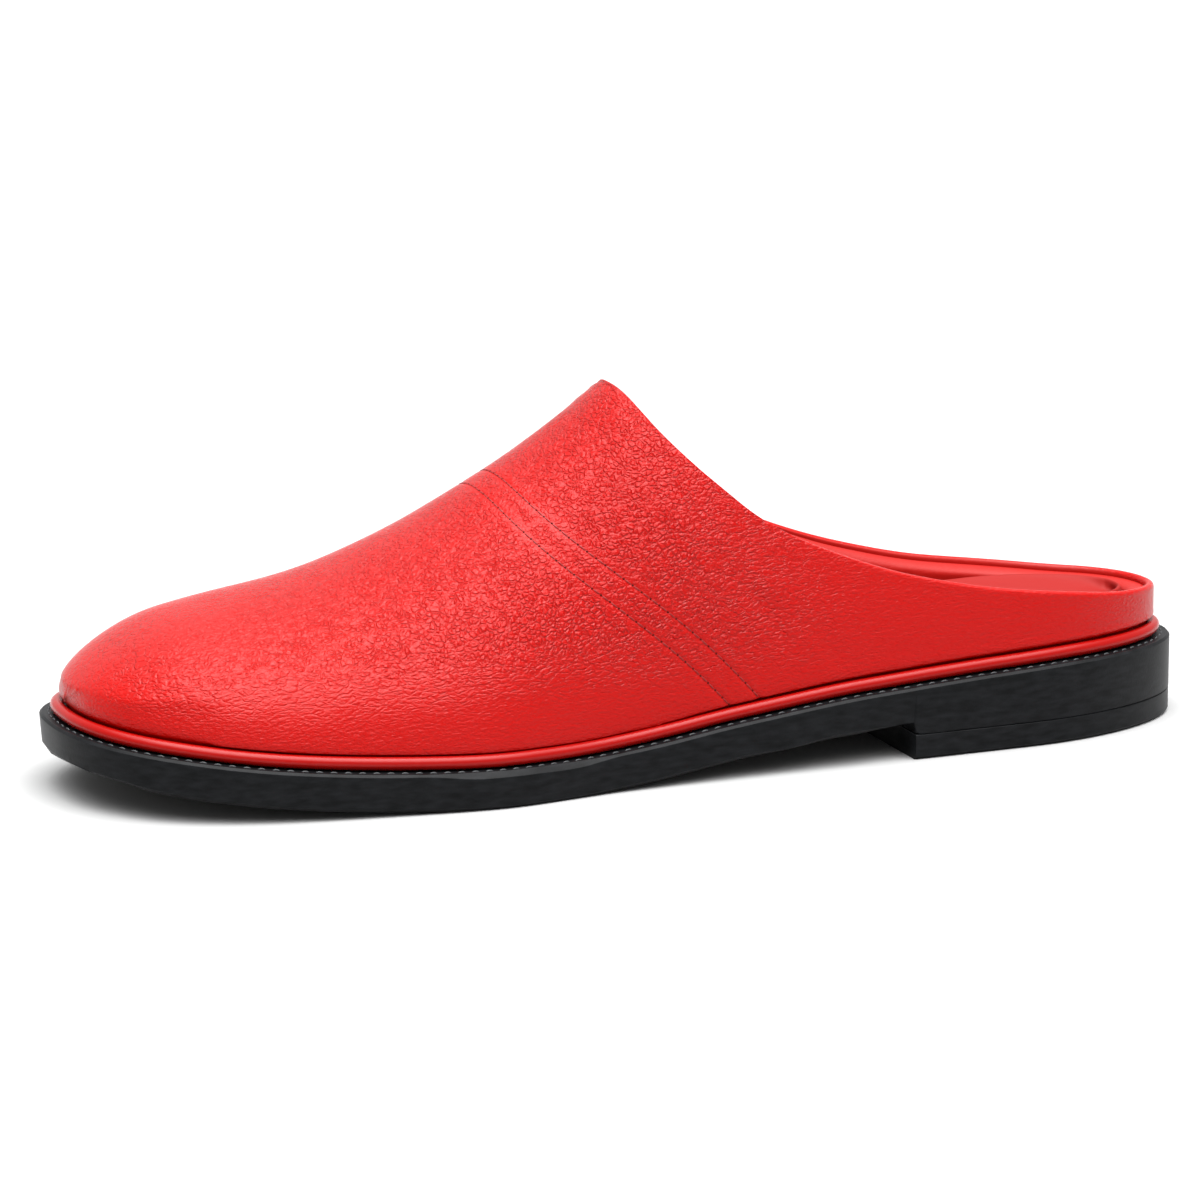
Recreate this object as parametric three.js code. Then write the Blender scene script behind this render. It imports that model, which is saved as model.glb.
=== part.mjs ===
// A backless leather slipper (babouche): the left shoe, standing empty on its sole.
// Millimetres. +X points to the toe, +Y to the outer side of the foot, +Z up from the floor.
import * as THREE from "three";
import { mergeVertices } from "three/addons/utils/BufferGeometryUtils.js";

// Driving sizes of the sole
const soleLength = 290;
const ballWidth = 98;
const soleThickness = 9;
const heelLength = 83;
const liftHeight = 6.1;
const waistRise = 8.6;
const toeSpring = 10.2;
const toeDrift = -2.4;
const edgeBevel = 1.3;
const bottomRound = 0.9;
const breastSlope = 0.5;
const liftSetback = 0.3;

// Driving sizes of the upper and what is sewn to it
const instepHeight = 80;
const upperWall = 2.2;
const bulge = 2.0;
const toeWall = 4.2;
const toeWallStart = 0.6;
const ridgeDrift = -1.6;
const pipingDiameter = 3.2;
const pipingInset = 2.6;

// Driving sizes of the inside
const liningThickness = 4.4;
const liningEdge = 0.8;
const liningDrop = 0.7;
const liningLip = 0.45;
const liningRound = 2.4;
const insoleThickness = 11.1;
const insoleDish = 2.2;
const insoleRound = 1.2;
const insoleLean = 0.8;
const clearance = 0.3;
const featherInset = pipingInset + pipingDiameter + clearance;

// The sole's outline, seen from above: half widths on the outer and inner side of the foot
const outline = {
  unit: ballWidth,
  columns: ["at", "outer", "inner"],
  rows: [
    [0.0, 0.302, 0.346],
    [0.2, 0.36, 0.315],
    [0.4, 0.407, 0.341],
    [0.55, 0.444, 0.426],
    [0.68, 0.512, 0.487],
    [0.82, 0.495, 0.477],
    [1.0, 0.519, 0.444],
  ],
};
const heelRounding = { share: 0.175, power: 2.05 };
const toeRounding = { share: 0.225, power: 2.27 };

// The underside in front of the heel: arch, flat tread under the ball, then the toe spring
const treadFlat = { from: 0.595, to: 0.64 };
const arch = {
  unit: waistRise,
  columns: ["at", "rise"],
  rows: [
    [0.28, 1.0],
    [0.34, 0.925],
    [0.44, 0.593],
    [0.54, 0.14],
    [treadFlat.from, 0.0],
    [treadFlat.to, 0.0],
  ],
};

// The sole's thickness above that line, which thickens into the heel base
const body = {
  unit: soleThickness,
  columns: ["at", "thick"],
  rows: [
    [0.0, 1.256],
    [0.12, 1.278],
    [0.22, 1.167],
    [0.3, 1.033],
    [0.4, 0.97],
    [0.5, 0.98],
    [0.75, 1.01],
    [0.9, 1.0],
    [1.0, 0.9],
  ],
};

const throat = 0.515;

// The bend over the piping: where it starts and ends above the sole, how much of a low column it may
// take up, and its rows of points. The outer skin bends tightly, the inside follows in a wider bend.
const outerFold = { start: 0.85 * pipingDiameter, end: 4.5, most: 0.75, rows: [0, 0.56, 0.7, 0.84] };
const innerFold = { start: 0.75 * pipingDiameter, end: 7, most: 0.5, rows: [0, 0.3, 0.5, 0.75] };

// The last's ridge line above the sole; behind the throat it carries on as a guide for the sides
const ridge = {
  unit: instepHeight,
  columns: ["at", "height", "flat", "full"],
  rows: [
    [0.0, 0.961, 1.9, 2.1],
    [0.36, 1.03, 1.9, 1.95],
    [0.46, 1.063, 2.2, 1.97],
    [throat, 1.0, 2.3, 1.98],
    [0.54, 0.938, 2.3, 1.98],
    [0.62, 0.755, 2.3, 1.97],
    [0.7, 0.601, 2.25, 1.96],
    [0.78, 0.474, 2.2, 2.0],
    [0.86, 0.39, 2.2, 2.1],
    [0.92, 0.322, 2.2, 2.2],
    [1.0, 0.23, 2.2, 2.2],
  ],
};
const toeCap = { share: 0.11, power: 2.05 };

// The collar line above the sole, from the back of the heel up to the throat
const collar = {
  unit: instepHeight,
  columns: ["at", "outer", "inner"],
  rows: [
    [0.0, 0.14, 0.14],
    [0.06, 0.157, 0.144],
    [0.12, 0.186, 0.163],
    [0.2, 0.236, 0.211],
    [0.28, 0.316, 0.297],
    [0.35, 0.422, 0.405],
    [0.41, 0.551, 0.541],
    [0.46, 0.72, 0.716],
    [0.5, 0.898, 0.897],
    [throat, 1.0, 1.0],
  ],
};

// The padded lining thins out along the sides, and the footbed thins out under the ball
const padding = {
  unit: liningThickness,
  columns: ["at", "thick"],
  rows: [
    [0.0, 1.0],
    [0.12, 1.0],
    [0.22, 0.85],
    [0.32, 0.6],
    [0.42, 0.3],
    [0.46, 0.2],
  ],
};
const liningEnd = 0.455;
const liningFade = 0.06;
const dishFade = { from: 0.25, to: 0.6 };
const footbed = {
  unit: insoleThickness,
  columns: ["at", "thick"],
  rows: [
    [0.0, 1.0],
    [0.2, 1.0],
    [0.35, 0.86],
    [0.5, 0.62],
    [0.7, 0.5],
    [1.0, 0.42],
  ],
};

// How finely each form is divided
const rearStations = 26;
const frontStations = 24;
const footRows = 4;
const wallRows = 8;
const upperRows = footRows + wallRows;
const rimSteps = 4;
const soleStations = 48;
const plateauSteps = 3;
const pipingSides = 8;
const insoleStations = 36;
const insoleSteps = 6;
const fineSteps = 60;
const mergeDistance = 1e-3;

const leatherRed = new THREE.MeshStandardMaterial({ color: 0xd4140e, roughness: 0.45, metalness: 0 });
const pipingRed = new THREE.MeshStandardMaterial({ color: 0xd4140e, roughness: 0.35, metalness: 0 });
const liningRed = new THREE.MeshStandardMaterial({ color: 0xdc261c, roughness: 0.6, metalness: 0 });
const soleBlack = new THREE.MeshStandardMaterial({ color: 0x2a2c2f, roughness: 0.7, metalness: 0 });

const clamp = THREE.MathUtils.clamp;
const lerp = THREE.MathUtils.lerp;
const shareOf = (x) => x / soleLength + 0.5;
const placeOf = (share) => (share - 0.5) * soleLength;

// A smooth curve through one column of a table that never overshoots between its rows
function read(table, column, share) {
  const k = table.columns.indexOf(column);
  const rows = table.rows;
  const last = rows.length - 1;
  const at = clamp(share, rows[0][0], rows[last][0]);
  let i = 0;
  while (i < last - 1 && at > rows[i + 1][0]) i += 1;
  const slope = (n) => (rows[n + 1][k] - rows[n][k]) / (rows[n + 1][0] - rows[n][0]);
  const tangent = (n) => {
    if (n === 0) return slope(0);
    if (n === last) return slope(last - 1);
    const before = slope(n - 1);
    const after = slope(n);
    if (before * after <= 0) return 0;
    return (2 * before * after) / (before + after);
  };
  const width = rows[i + 1][0] - rows[i][0];
  const t = (at - rows[i][0]) / width;
  const ease = t * t * (3 - 2 * t);
  const rise = t * (1 - t) * (1 - t) * width * tangent(i);
  const fall = t * t * (t - 1) * width * tangent(i + 1);
  return lerp(rows[i][k], rows[i + 1][k], ease) + rise + fall;
}

const size = (table, column, share) => table.unit * read(table, column, share);

// Superellipse ends: 1 along the shoe, falling to 0 at the back of the heel and the tip of the toe
function ending(share) {
  const toe = (share - 1 + toeRounding.share) / toeRounding.share;
  const heel = (heelRounding.share - share) / heelRounding.share;
  if (heel > 0) return Math.pow(1 - Math.pow(Math.min(heel, 1), heelRounding.power), 1 / heelRounding.power);
  if (toe > 0) return Math.pow(1 - Math.pow(Math.min(toe, 1), toeRounding.power), 1 / toeRounding.power);
  return 1;
}

// Half a step of a cosine, so that stations crowd at both ends
const crowd = (t) => (1 - Math.cos(Math.PI * t)) / 2;

const middleLine = (share) => toeDrift * THREE.MathUtils.smoothstep(share, 0.5, 1);

function edgePoint(share, side) {
  const half = size(outline, side > 0 ? "outer" : "inner", share);
  return new THREE.Vector2(placeOf(share), middleLine(share) + side * half * ending(share));
}

// The inward direction across the sole's edge, in plan
function edgeInward(share, side) {
  const step = 1e-5;
  if (share <= step) return new THREE.Vector2(1, 0);
  if (share >= 1 - step) return new THREE.Vector2(-1, 0);
  const along = edgePoint(share + step, side).sub(edgePoint(share - step, side)).normalize();
  return new THREE.Vector2(side * along.y, -side * along.x);
}

function insetPoint(share, side, inset) {
  return edgePoint(share, side).addScaledVector(edgeInward(share, side), inset);
}

// Heights along the sole
function underside(share) {
  const spring = clamp((share - treadFlat.to) / (1 - treadFlat.to), 0, 1);
  return size(arch, "rise", share) + toeSpring * spring * spring;
}
const soleTop = (x) => underside(shareOf(x)) + size(body, "thick", shareOf(x));
const seatLine = (x) => soleTop(x) + clearance;

// Joins quads into one closed surface: triangles that collapse at a tip are left out
function solidFrom(quads) {
  const places = [];
  for (const quad of quads) {
    for (const corner of [0, 1, 2, 0, 2, 3]) places.push(...quad[corner].toArray());
  }
  const loose = new THREE.BufferGeometry();
  loose.setAttribute("position", new THREE.Float32BufferAttribute(places, 3));
  const merged = mergeVertices(loose, mergeDistance);
  const index = merged.getIndex().array;
  const kept = [];
  for (let i = 0; i < index.length; i += 3) {
    const [a, b, c] = [index[i], index[i + 1], index[i + 2]];
    if (a !== b && b !== c && c !== a) kept.push(a, b, c);
  }
  merged.setIndex(kept);
  merged.computeVertexNormals();
  return merged;
}

// Quads between two rows of points; they face the way that a-to-b turns towards the rows' direction
function strip(a, b) {
  return a.slice(1).map((point, i) => [a[i], b[i], b[i + 1], point]);
}
const closedStrip = (a, b) => strip([...a, a[0]], [...b, b[0]]);
const ringStrips = (rows) => rows.flatMap((row, i) => strip(row, rows[(i + 1) % rows.length]));
const openStrips = (rows) => rows.slice(1).flatMap((row, i) => strip(rows[i], row));

// Closed loops, one for each station from the heel's tip to the toe's tip
const loftQuads = (loops) => loops.slice(1).flatMap((loop, i) => closedStrip(loops[i], loop));

// Shares along the shoe, crowded at both ends, and the walk round it: toe, outer side, heel, inner side
const evenShares = (count) => Array.from({ length: count + 1 }, (_, i) => crowd(i / count));
function walkRound(shares) {
  const outerSide = shares.map((share) => [share, 1]).reverse();
  const innerSide = shares.slice(1, -1).map((share) => [share, -1]);
  return [...outerSide, ...innerSide];
}

const lifted = (flat, z) => new THREE.Vector3(flat.x, flat.y, z);

// Points across the shoe from one edge to the other
function across(from, to, height, steps) {
  return Array.from({ length: steps + 1 }, (_, i) => {
    const flat = from.clone().lerp(to, i / steps);
    return lifted(flat, height(flat.x, i / steps));
  });
}

// One loop round a flat piece: over the top, down the outer edge, under the bottom, up the inner edge
function slabLoop({ share, inset, top, bottom, bevel, round, lean, steps }) {
  const edge = (side, more) => insetPoint(share, side, inset + more);
  const rimEnd = { 1: 1, [-1]: 0 };
  const shoulder = (side) => lifted(edge(side, lean), top(edge(side, lean + bevel).x, rimEnd[side]) - bevel);
  const foot = (side) => lifted(edge(side, 0), bottom(edge(side, 0).x) + round);
  return [
    ...across(edge(-1, lean + bevel), edge(1, lean + bevel), top, steps),
    shoulder(1),
    foot(1),
    ...across(edge(1, round), edge(-1, round), bottom, steps),
    foot(-1),
    shoulder(-1),
  ];
}

const breastShare = heelLength / soleLength;

// Stations of the sole, with a pair at the heel breast and one at each end of the flat tread
function soleShares() {
  const fixed = [breastShare, breastShare + breastSlope / soleLength, treadFlat.from, treadFlat.to];
  const gap = 1 / (4 * soleStations);
  const free = evenShares(soleStations).filter((share) => fixed.every((at) => Math.abs(share - at) > gap));
  return [...free, ...fixed].sort((a, b) => a - b);
}

function makeOutsole() {
  const back = placeOf(breastShare);
  const front = back + breastSlope;
  const heelBase = liftHeight + clearance;
  const bottom = (x) => {
    const forward = clamp((x - back) / breastSlope, 0, 1);
    return lerp(heelBase, underside(shareOf(Math.max(x, front))), forward);
  };
  const loops = soleShares().map((share) => slabLoop({
    share, inset: 0, top: soleTop, bottom, bevel: edgeBevel, round: bottomRound, lean: 0, steps: plateauSteps,
  }));
  return solidFrom(loftQuads(loops));
}

function makeHeelLift() {
  const shares = soleShares().filter((share) => share <= breastShare);
  const loops = shares.map((share) => slabLoop({
    share, inset: liftSetback, top: () => liftHeight, bottom: () => 0,
    bevel: liftSetback, round: bottomRound, lean: 0, steps: plateauSteps,
  }));
  const front = loops[loops.length - 1];
  const middle = new THREE.Vector3();
  for (const point of front) middle.addScaledVector(point, 1 / front.length);
  return solidFrom([...loftQuads(loops), ...closedStrip(front, front.map(() => middle))]);
}

// The piping: a round roll all round on the sole
function makePiping() {
  const radius = pipingDiameter / 2;
  const rings = walkRound(evenShares(soleStations)).map(([share, side]) => {
    const centre = insetPoint(share, side, pipingInset + radius);
    const inward = edgeInward(share, side);
    const height = seatLine(centre.x) + radius;
    const ring = Array.from({ length: pipingSides }, (_, i) => {
      const turn = (2 * Math.PI * (i + 0.5)) / pipingSides;
      const flat = centre.clone().addScaledVector(inward, -radius * Math.cos(turn));
      return lifted(flat, height + radius * Math.sin(turn));
    });
    return [...ring, ring[0]];
  });
  return solidFrom(ringStrips(rings));
}

// The ridge of the upper above the sole, with its end rounded down to the upright wall of the toe
function ridgeRise(share) {
  const t = clamp((share - 1 + toeCap.share) / toeCap.share, 0, 1);
  return lerp(toeWall, size(ridge, "height", share), Math.pow(1 - Math.pow(t, toeCap.power), 1 / toeCap.power));
}

// The height up to which the skin stands upright: none at the heel, the toe wall at the tip
const uprightRise = (share) => toeWall * THREE.MathUtils.smoothstep(share, toeWallStart, 1);

// How far the foot of the upper is pulled in behind the piping, below its widest line
const pinchAt = (rise, fold) => bulge * (1 - THREE.MathUtils.smoothstep(rise, fold.start, fold.end));

// How far out the skin is at a height above the sole: 1 at its widest, 0 at the ridge
function reachAt(share, rise) {
  const upright = Math.min(uprightRise(share), ridgeRise(share));
  if (rise <= upright) return 1;
  const part = clamp((rise - upright) / (ridgeRise(share) - upright), 0, 1);
  const full = read(ridge, "full", share);
  return Math.pow(1 - Math.pow(part, read(ridge, "flat", share)), 1 / full);
}

// A point of the skin at a share and side, and at a height above the sole
function skinPoint(share, side, rise, fold) {
  const wide = featherInset - bulge;
  const edge = insetPoint(share, side, wide);
  const other = insetPoint(share, -side, wide);
  const crest = edge.clone().lerp(other, 0.5);
  crest.y += ridgeDrift * clamp(Math.abs(edge.y - other.y) / ballWidth, 0, 1);
  const reach = reachAt(share, rise);
  const inward = edgeInward(share, side);
  const backward = inward.clone().lerp(edgeInward(share, -side), 0.5);
  const flat = crest.lerp(edge, reach).addScaledVector(backward.lerp(inward, reach), pinchAt(rise, fold));
  return lifted(flat, seatLine(flat.x) + rise);
}

// Points of one column: a few close to the piping, then even steps along the skin to its top
function columnPoints(share, side, fold) {
  const top = share < throat ? size(collar, side > 0 ? "outer" : "inner", share) : ridgeRise(share);
  const swell = Math.min(fold.end, top * fold.most);
  const fine = Array.from({ length: fineSteps + 1 }, (_, n) => {
    const turn = (Math.PI / 2) * (n / fineSteps);
    return skinPoint(share, side, lerp(swell, top, Math.sin(turn)), fold);
  });
  const lengths = [0];
  for (let n = 1; n <= fineSteps; n += 1) lengths.push(lengths[n - 1] + fine[n].distanceTo(fine[n - 1]));
  const foot = fold.rows.map((part) => skinPoint(share, side, part * swell, fold));
  const wall = Array.from({ length: wallRows + 1 }, (_, j) => {
    const goal = (lengths[fineSteps] * j) / wallRows;
    const n = Math.max(1, lengths.findIndex((length) => length >= goal - mergeDistance));
    const t = (goal - lengths[n - 1]) / (lengths[n] - lengths[n - 1]);
    return fine[n - 1].clone().lerp(fine[n], clamp(t, 0, 1));
  });
  return [...foot, ...wall];
}

// The skin as columns from foot to collar or ridge, all round
function skinColumns(fold) {
  const rear = evenShares(rearStations).map((t) => throat * t);
  const front = evenShares(frontStations).slice(1).map((t) => lerp(throat, 1, t));
  return walkRound([...rear, ...front]).map(([share, side]) => {
    return { share, points: columnPoints(share, side, fold) };
  });
}

// Outward normals at the points of the skin, shared where two columns meet
function skinNormals(columns) {
  const sums = new Map();
  const key = (point) => point.toArray().map((value) => value.toFixed(4)).join();
  for (const quad of ringStrips(columns.map((column) => column.points))) {
    const diagonal = quad[2].clone().sub(quad[0]);
    const facing = diagonal.cross(quad[3].clone().sub(quad[1]));
    for (const corner of quad) {
      if (!sums.has(key(corner))) sums.set(key(corner), new THREE.Vector3());
      sums.get(key(corner)).add(facing);
    }
  }
  return columns.map((column) => column.points.map((point) => sums.get(key(point)).clone().normalize()));
}

// A copy of a point pushed into the shoe along its normal, and never through the sole
function pushedIn(point, normal, depth) {
  const moved = point.clone().addScaledVector(normal, -depth);
  moved.z = Math.max(moved.z, seatLine(moved.x));
  return moved;
}

function onSeat(points) {
  points[0].z = seatLine(points[0].x);
  return points;
}

// The rolled collar edge of one column, from the outer skin over to the lining side
function rimPoints(top, normal, along) {
  const radius = upperWall / 2;
  const outwards = normal.clone().cross(along).normalize();
  const centre = top.clone().addScaledVector(normal, -radius);
  return Array.from({ length: rimSteps + 1 }, (_, i) => {
    const turn = (Math.PI * i) / rimSteps;
    const point = centre.clone().addScaledVector(normal, radius * Math.cos(turn));
    return point.addScaledVector(outwards, radius * Math.sin(turn));
  });
}

const outerColumns = skinColumns(outerFold);
const columns = skinColumns(innerFold);
const normals = skinNormals(columns);
const innerSkin = columns.map(({ points }, i) => {
  return onSeat(points.map((point, j) => pushedIn(point, normals[i][j], upperWall)));
});
const footStrips = (outer, inner) => ringStrips(outer.map((row, i) => [inner[i][0], row[0]]));

function makeUpper() {
  const outer = outerColumns.map((column) => column.points);
  const open = columns.flatMap(({ share }, i) => (share <= throat ? [i] : []));
  const tops = open.map((i) => outer[i][upperRows]);
  const rims = open.map((i, n) => {
    const before = tops[n === 0 ? tops.length - 2 : n - 1];
    const after = tops[n === tops.length - 1 ? 1 : n + 1];
    const rim = rimPoints(tops[n], normals[i][upperRows], after.clone().sub(before));
    innerSkin[i][upperRows] = rim[rimSteps];
    return rim;
  });
  const outside = ringStrips(outer);
  const inside = ringStrips(innerSkin).map((quad) => quad.reverse());
  return solidFrom([...outside, ...inside, ...footStrips(outer, innerSkin), ...openStrips(rims)]);
}

// The padded lining inside the collar, from one side round the heel to the other
function makeCollarLining() {
  const lined = columns.flatMap(({ share }, i) => (share <= liningEnd ? [i] : []));
  const outer = [];
  const inner = [];
  for (const i of lined) {
    const full = size(padding, "thick", columns[i].share);
    const heights = columns[i].points.map((point) => point.z);
    const facing = innerSkin[i].map((point, j) => {
      const moved = pushedIn(point, normals[i][j], clearance);
      moved.z -= (liningDrop * j) / upperRows;
      return moved;
    });
    const padded = facing.map((point, j) => {
      const below = clamp((heights[upperRows] - heights[j]) / liningRound, 0, 1);
      const rounding = lerp(liningLip, 1, Math.sqrt(below * (2 - below)));
      const depth = Math.max((full - pinchAt(heights[j] - heights[0], innerFold)) * rounding, liningEdge);
      return pushedIn(point, normals[i][j], depth);
    });
    outer.push(onSeat(facing));
    inner.push(onSeat(padded));
  }
  const last = lined.length - 1;
  return solidFrom([
    ...openStrips(outer),
    ...openStrips(inner).map((quad) => quad.reverse()),
    ...openStrips(outer.map((row, i) => [inner[i][0], row[0]])),
    ...openStrips(outer.map((row, i) => [row[upperRows], inner[i][upperRows]])),
    ...strip(inner[0], outer[0]),
    ...strip(outer[last], inner[last]),
  ]);
}

// The dished footbed: it fills the inside, between the padded lining at the heel and the bare wall in front
function makeInsole() {
  const insetAt = (share) => {
    const bare = featherInset + upperWall + clearance;
    const padded = Math.max(size(padding, "thick", share) - bulge, liningEdge) + clearance;
    return bare + padded * (1 - THREE.MathUtils.smoothstep(share, liningEnd, liningEnd + liningFade));
  };
  const top = (x, t) => {
    const share = shareOf(x);
    const dish = insoleDish * (1 - THREE.MathUtils.smoothstep(share, dishFade.from, dishFade.to));
    return seatLine(x) + size(footbed, "thick", share) - dish * (1 - Math.pow(2 * t - 1, 2));
  };
  const loops = evenShares(insoleStations).map((share) => slabLoop({
    share, inset: insetAt(share), top, bottom: seatLine, bevel: insoleRound, round: 0,
    lean: insoleLean, steps: insoleSteps,
  }));
  return solidFrom(loftQuads(loops));
}

function addPiece(group, name, geometry, material) {
  const mesh = new THREE.Mesh(geometry, material);
  mesh.name = name;
  group.add(mesh);
}

const slipper = new THREE.Group();
addPiece(slipper, "outsole", makeOutsole(), soleBlack);
addPiece(slipper, "heel_lift", makeHeelLift(), soleBlack);
addPiece(slipper, "welt_piping", makePiping(), pipingRed);
addPiece(slipper, "upper", makeUpper(), leatherRed);
addPiece(slipper, "collar_lining", makeCollarLining(), liningRed);
addPiece(slipper, "insole", makeInsole(), liningRed);

// The origin lies on the floor, at the middle of the shoe's length and width
const reach = new THREE.Box3().setFromObject(slipper);
const centre = reach.getCenter(new THREE.Vector3());
slipper.position.set(-centre.x, -centre.y, -reach.min.z);
slipper.updateMatrixWorld(true);

export default slipper;
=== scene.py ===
import math

import bpy
import numpy as np
from mathutils import Matrix, Vector
from mathutils.bvhtree import BVHTree


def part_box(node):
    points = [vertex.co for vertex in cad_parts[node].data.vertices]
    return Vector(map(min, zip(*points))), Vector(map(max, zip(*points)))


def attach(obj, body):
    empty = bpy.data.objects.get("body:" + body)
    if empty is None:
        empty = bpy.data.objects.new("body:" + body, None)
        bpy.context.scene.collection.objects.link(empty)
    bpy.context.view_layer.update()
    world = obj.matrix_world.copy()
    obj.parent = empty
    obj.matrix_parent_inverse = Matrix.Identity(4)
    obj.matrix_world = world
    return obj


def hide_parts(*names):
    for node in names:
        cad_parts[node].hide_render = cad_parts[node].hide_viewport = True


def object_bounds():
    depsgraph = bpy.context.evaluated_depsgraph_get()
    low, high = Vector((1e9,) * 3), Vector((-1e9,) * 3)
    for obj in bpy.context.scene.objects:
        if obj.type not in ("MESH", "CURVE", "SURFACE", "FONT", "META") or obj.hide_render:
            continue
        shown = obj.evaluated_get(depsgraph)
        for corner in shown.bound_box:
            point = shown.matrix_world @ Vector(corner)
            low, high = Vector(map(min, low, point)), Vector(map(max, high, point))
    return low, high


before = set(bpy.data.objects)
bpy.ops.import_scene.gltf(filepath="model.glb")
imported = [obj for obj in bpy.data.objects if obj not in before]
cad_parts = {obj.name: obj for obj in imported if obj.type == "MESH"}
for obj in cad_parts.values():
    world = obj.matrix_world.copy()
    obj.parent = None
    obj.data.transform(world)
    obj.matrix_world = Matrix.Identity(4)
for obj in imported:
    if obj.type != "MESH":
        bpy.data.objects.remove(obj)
cad_low, cad_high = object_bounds()
bpy.ops.object.select_all(action="DESELECT")

MM = 0.001

# The photograph's view
VIEW_AZIMUTH = 160.0
VIEW_ELEVATION = 12.4
VIEW_DISTANCE = 1.4
AIM_HEIGHT = 30 * MM
AIM_SIDE = -0.374 * MM
CLIP_NEAR = 0.05
CLIP_FAR = 50.0
LENS = 171.8
SENSOR = 36.0
SHIFT_X = -0.0201
SHIFT_Y = 0.0230

# The light tent: how bright its front, its back, its roof and the lamp behind the roof are, where
# the brightness turns from back to front, the direction of the lamp's middle, and the cosines of the
# angles where the roof's and the lamp's glow start and are full
TENT_FRONT = 0.5
TENT_BACK = 0.8
TENT_TURN = (-0.9, -0.1)
TENT_ROOF = 5.4
TENT_LAMP = 4.6
ROOF_MIDDLE = (0.0, 0.21, 0.98)
ROOF_GLOW = (0.6, 0.93)
LAMP_GLOW = (0.84, 0.98)

# The paper floor
FLOOR_SIZE = 30.0
FLOOR_TONE = 0.37
FLOOR_ROUGHNESS = 0.9

# How a piece is copied from the frame: corners closer than this are one, and how crooked a quad may
# be, in degrees
MERGE_DISTANCE = 0.002 * MM
QUAD_FACE_ANGLE = 60
QUAD_SHAPE_ANGLE = 70

# How fine the rounded pieces are, and how often the rounding is corrected to pass through the corners
ROUNDING_LEVELS = 2
ROUNDING_FITS = 4

# The vamp's sewing: the pitch, the thread's radius and the stitch's length, the groove that the
# thread pulls into the leather, and the band of finer mesh round it. A row starts at SEAM_START over
# the floor, is followed in steps, and may reach a little past the middle of the shoe.
SEAM_PITCH = 2.7 * MM
SEAM_THREAD = 0.2 * MM
SEAM_STITCH = 2.3 * MM
SEAM_GROOVE_WIDTH = 0.7 * MM
SEAM_GROOVE_DEPTH = 0.2 * MM
SEAM_BAND = 3.2 * MM
SEAM_BAND_CUTS = 4
SEAM_BAND_SMOOTHING = 6
SEAM_START = 12 * MM
SEAM_STEP = 0.8 * MM
SEAM_PAST_MIDDLE = 20 * MM

# The needle holes' painted shadows, dark dots: their radius, and how deep they sit as a share of it
HOLE_SHADOW_RADIUS = 0.32 * MM
HOLE_SHADOW_SINK = 0.45
HOLE_SHADOW_SEGMENTS = 8
HOLE_SHADOW_RINGS = 6

# The welt's sewing: the pitch, the thread's radius, the stitch's length, and how far outside the
# piping the stitches lie. The piping's rim is where its surface leans up or down by no more than
# WELT_LEVEL.
WELT_PITCH = 3.4 * MM
WELT_THREAD = 0.2 * MM
WELT_STITCH = 1.9 * MM
WELT_OUTWARDS = 0.45 * MM
WELT_LEVEL = 0.09

# The shape of a stitch: the sides of its thread, where it is cut across as shares of its length, how
# much thinner its ends are, and how far they dip in thread radii. Stitches stand proud of what they
# hold by a share of the thread's radius.
STITCH_SIDES = 8
STITCH_CUTS = (-1 / 6, 1 / 6, -0.4, 0.4)
STITCH_THINNING = 0.45
STITCH_DIP = 1.3
SEAM_PROUD = 0.2
WELT_PROUD = 0.4

# Rays that look for the leather start this far out, and the welt's rays this high
RAY_START = 0.2
RAY_HEIGHT = 0.1

# The mould's edges on the outsole: their size, how much of it is taken away, whether they are upper
# edges, and the heights between which they lie. The mould rounds every edge a little, and an edge is
# known by its size within a tolerance.
SHOULDER = (1.3 * MM, 0.55, True, 8 * MM, 22 * MM)
HEEL_BASE = (0.9 * MM, 0.85, False, 6.3 * MM, 6.5 * MM)
MOULD_ROUND = 0.22 * MM
MOULD_SEGMENTS = 3
EDGE_TOLERANCE = 0.35

# Angles in degrees over which the rubber's edges stay sharp and are shaded as edges, and how far
# down a face looks where it is the underside
SHARP_ANGLE = 30
SHADED_ANGLE = 40
UNDERSIDE = -0.9

# The pebbled grain: a pebble's width and height, how far the net is warped and how coarse the warp
# is, how wide a crease is round pebbles and in the drawn-out wrinkles, and how the wrinkles are
# pulled. Scales are in pebble widths.
PEBBLE = 1.3 * MM
PEBBLE_HEIGHT = 0.28 * MM
WARP_REACH = 2.2
WARP_SCALE = 0.3
PEBBLE_CREASE = 0.28
WRINKLE_CREASE = 0.2
WRINKLE_PULL = (0.42, 0.7, 1.25)

# Creases come and go in patches, from the lowest strength to full
PATCH_SCALE = 0.6
PATCH_RANGE = (0.3, 0.55)
PATCH_LOWEST = 0.45

# The fine fibres between the creases: their scale, their pull along the shoe, and how high they
# stand. A crease is CREASE_DROP deep in the same measure, which is half a pebble's height.
FIBRE_SCALE = 2.0
FIBRE_PULL = (0.5, 0.7, 1.2)
FIBRE_HEIGHT = 2.2
CREASE_DROP = 2.0

# Where the grain stands, from faint to full: over the floor, from the heel, and towards the toe's
# tip. The sewing presses it flat.
GRAIN_HEIGHTS = (20 * MM, 36 * MM)
GRAIN_FROM_HEEL = (0.28, 0.48)
GRAIN_TIP = (0.93, 0.985)
GRAIN_TIP_LOSS = 0.6
GRAIN_FAINT = 0.06
SEAM_PRESSED_WIDTH = 1.6 * MM
SEAM_PRESSED = 0.75

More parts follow.
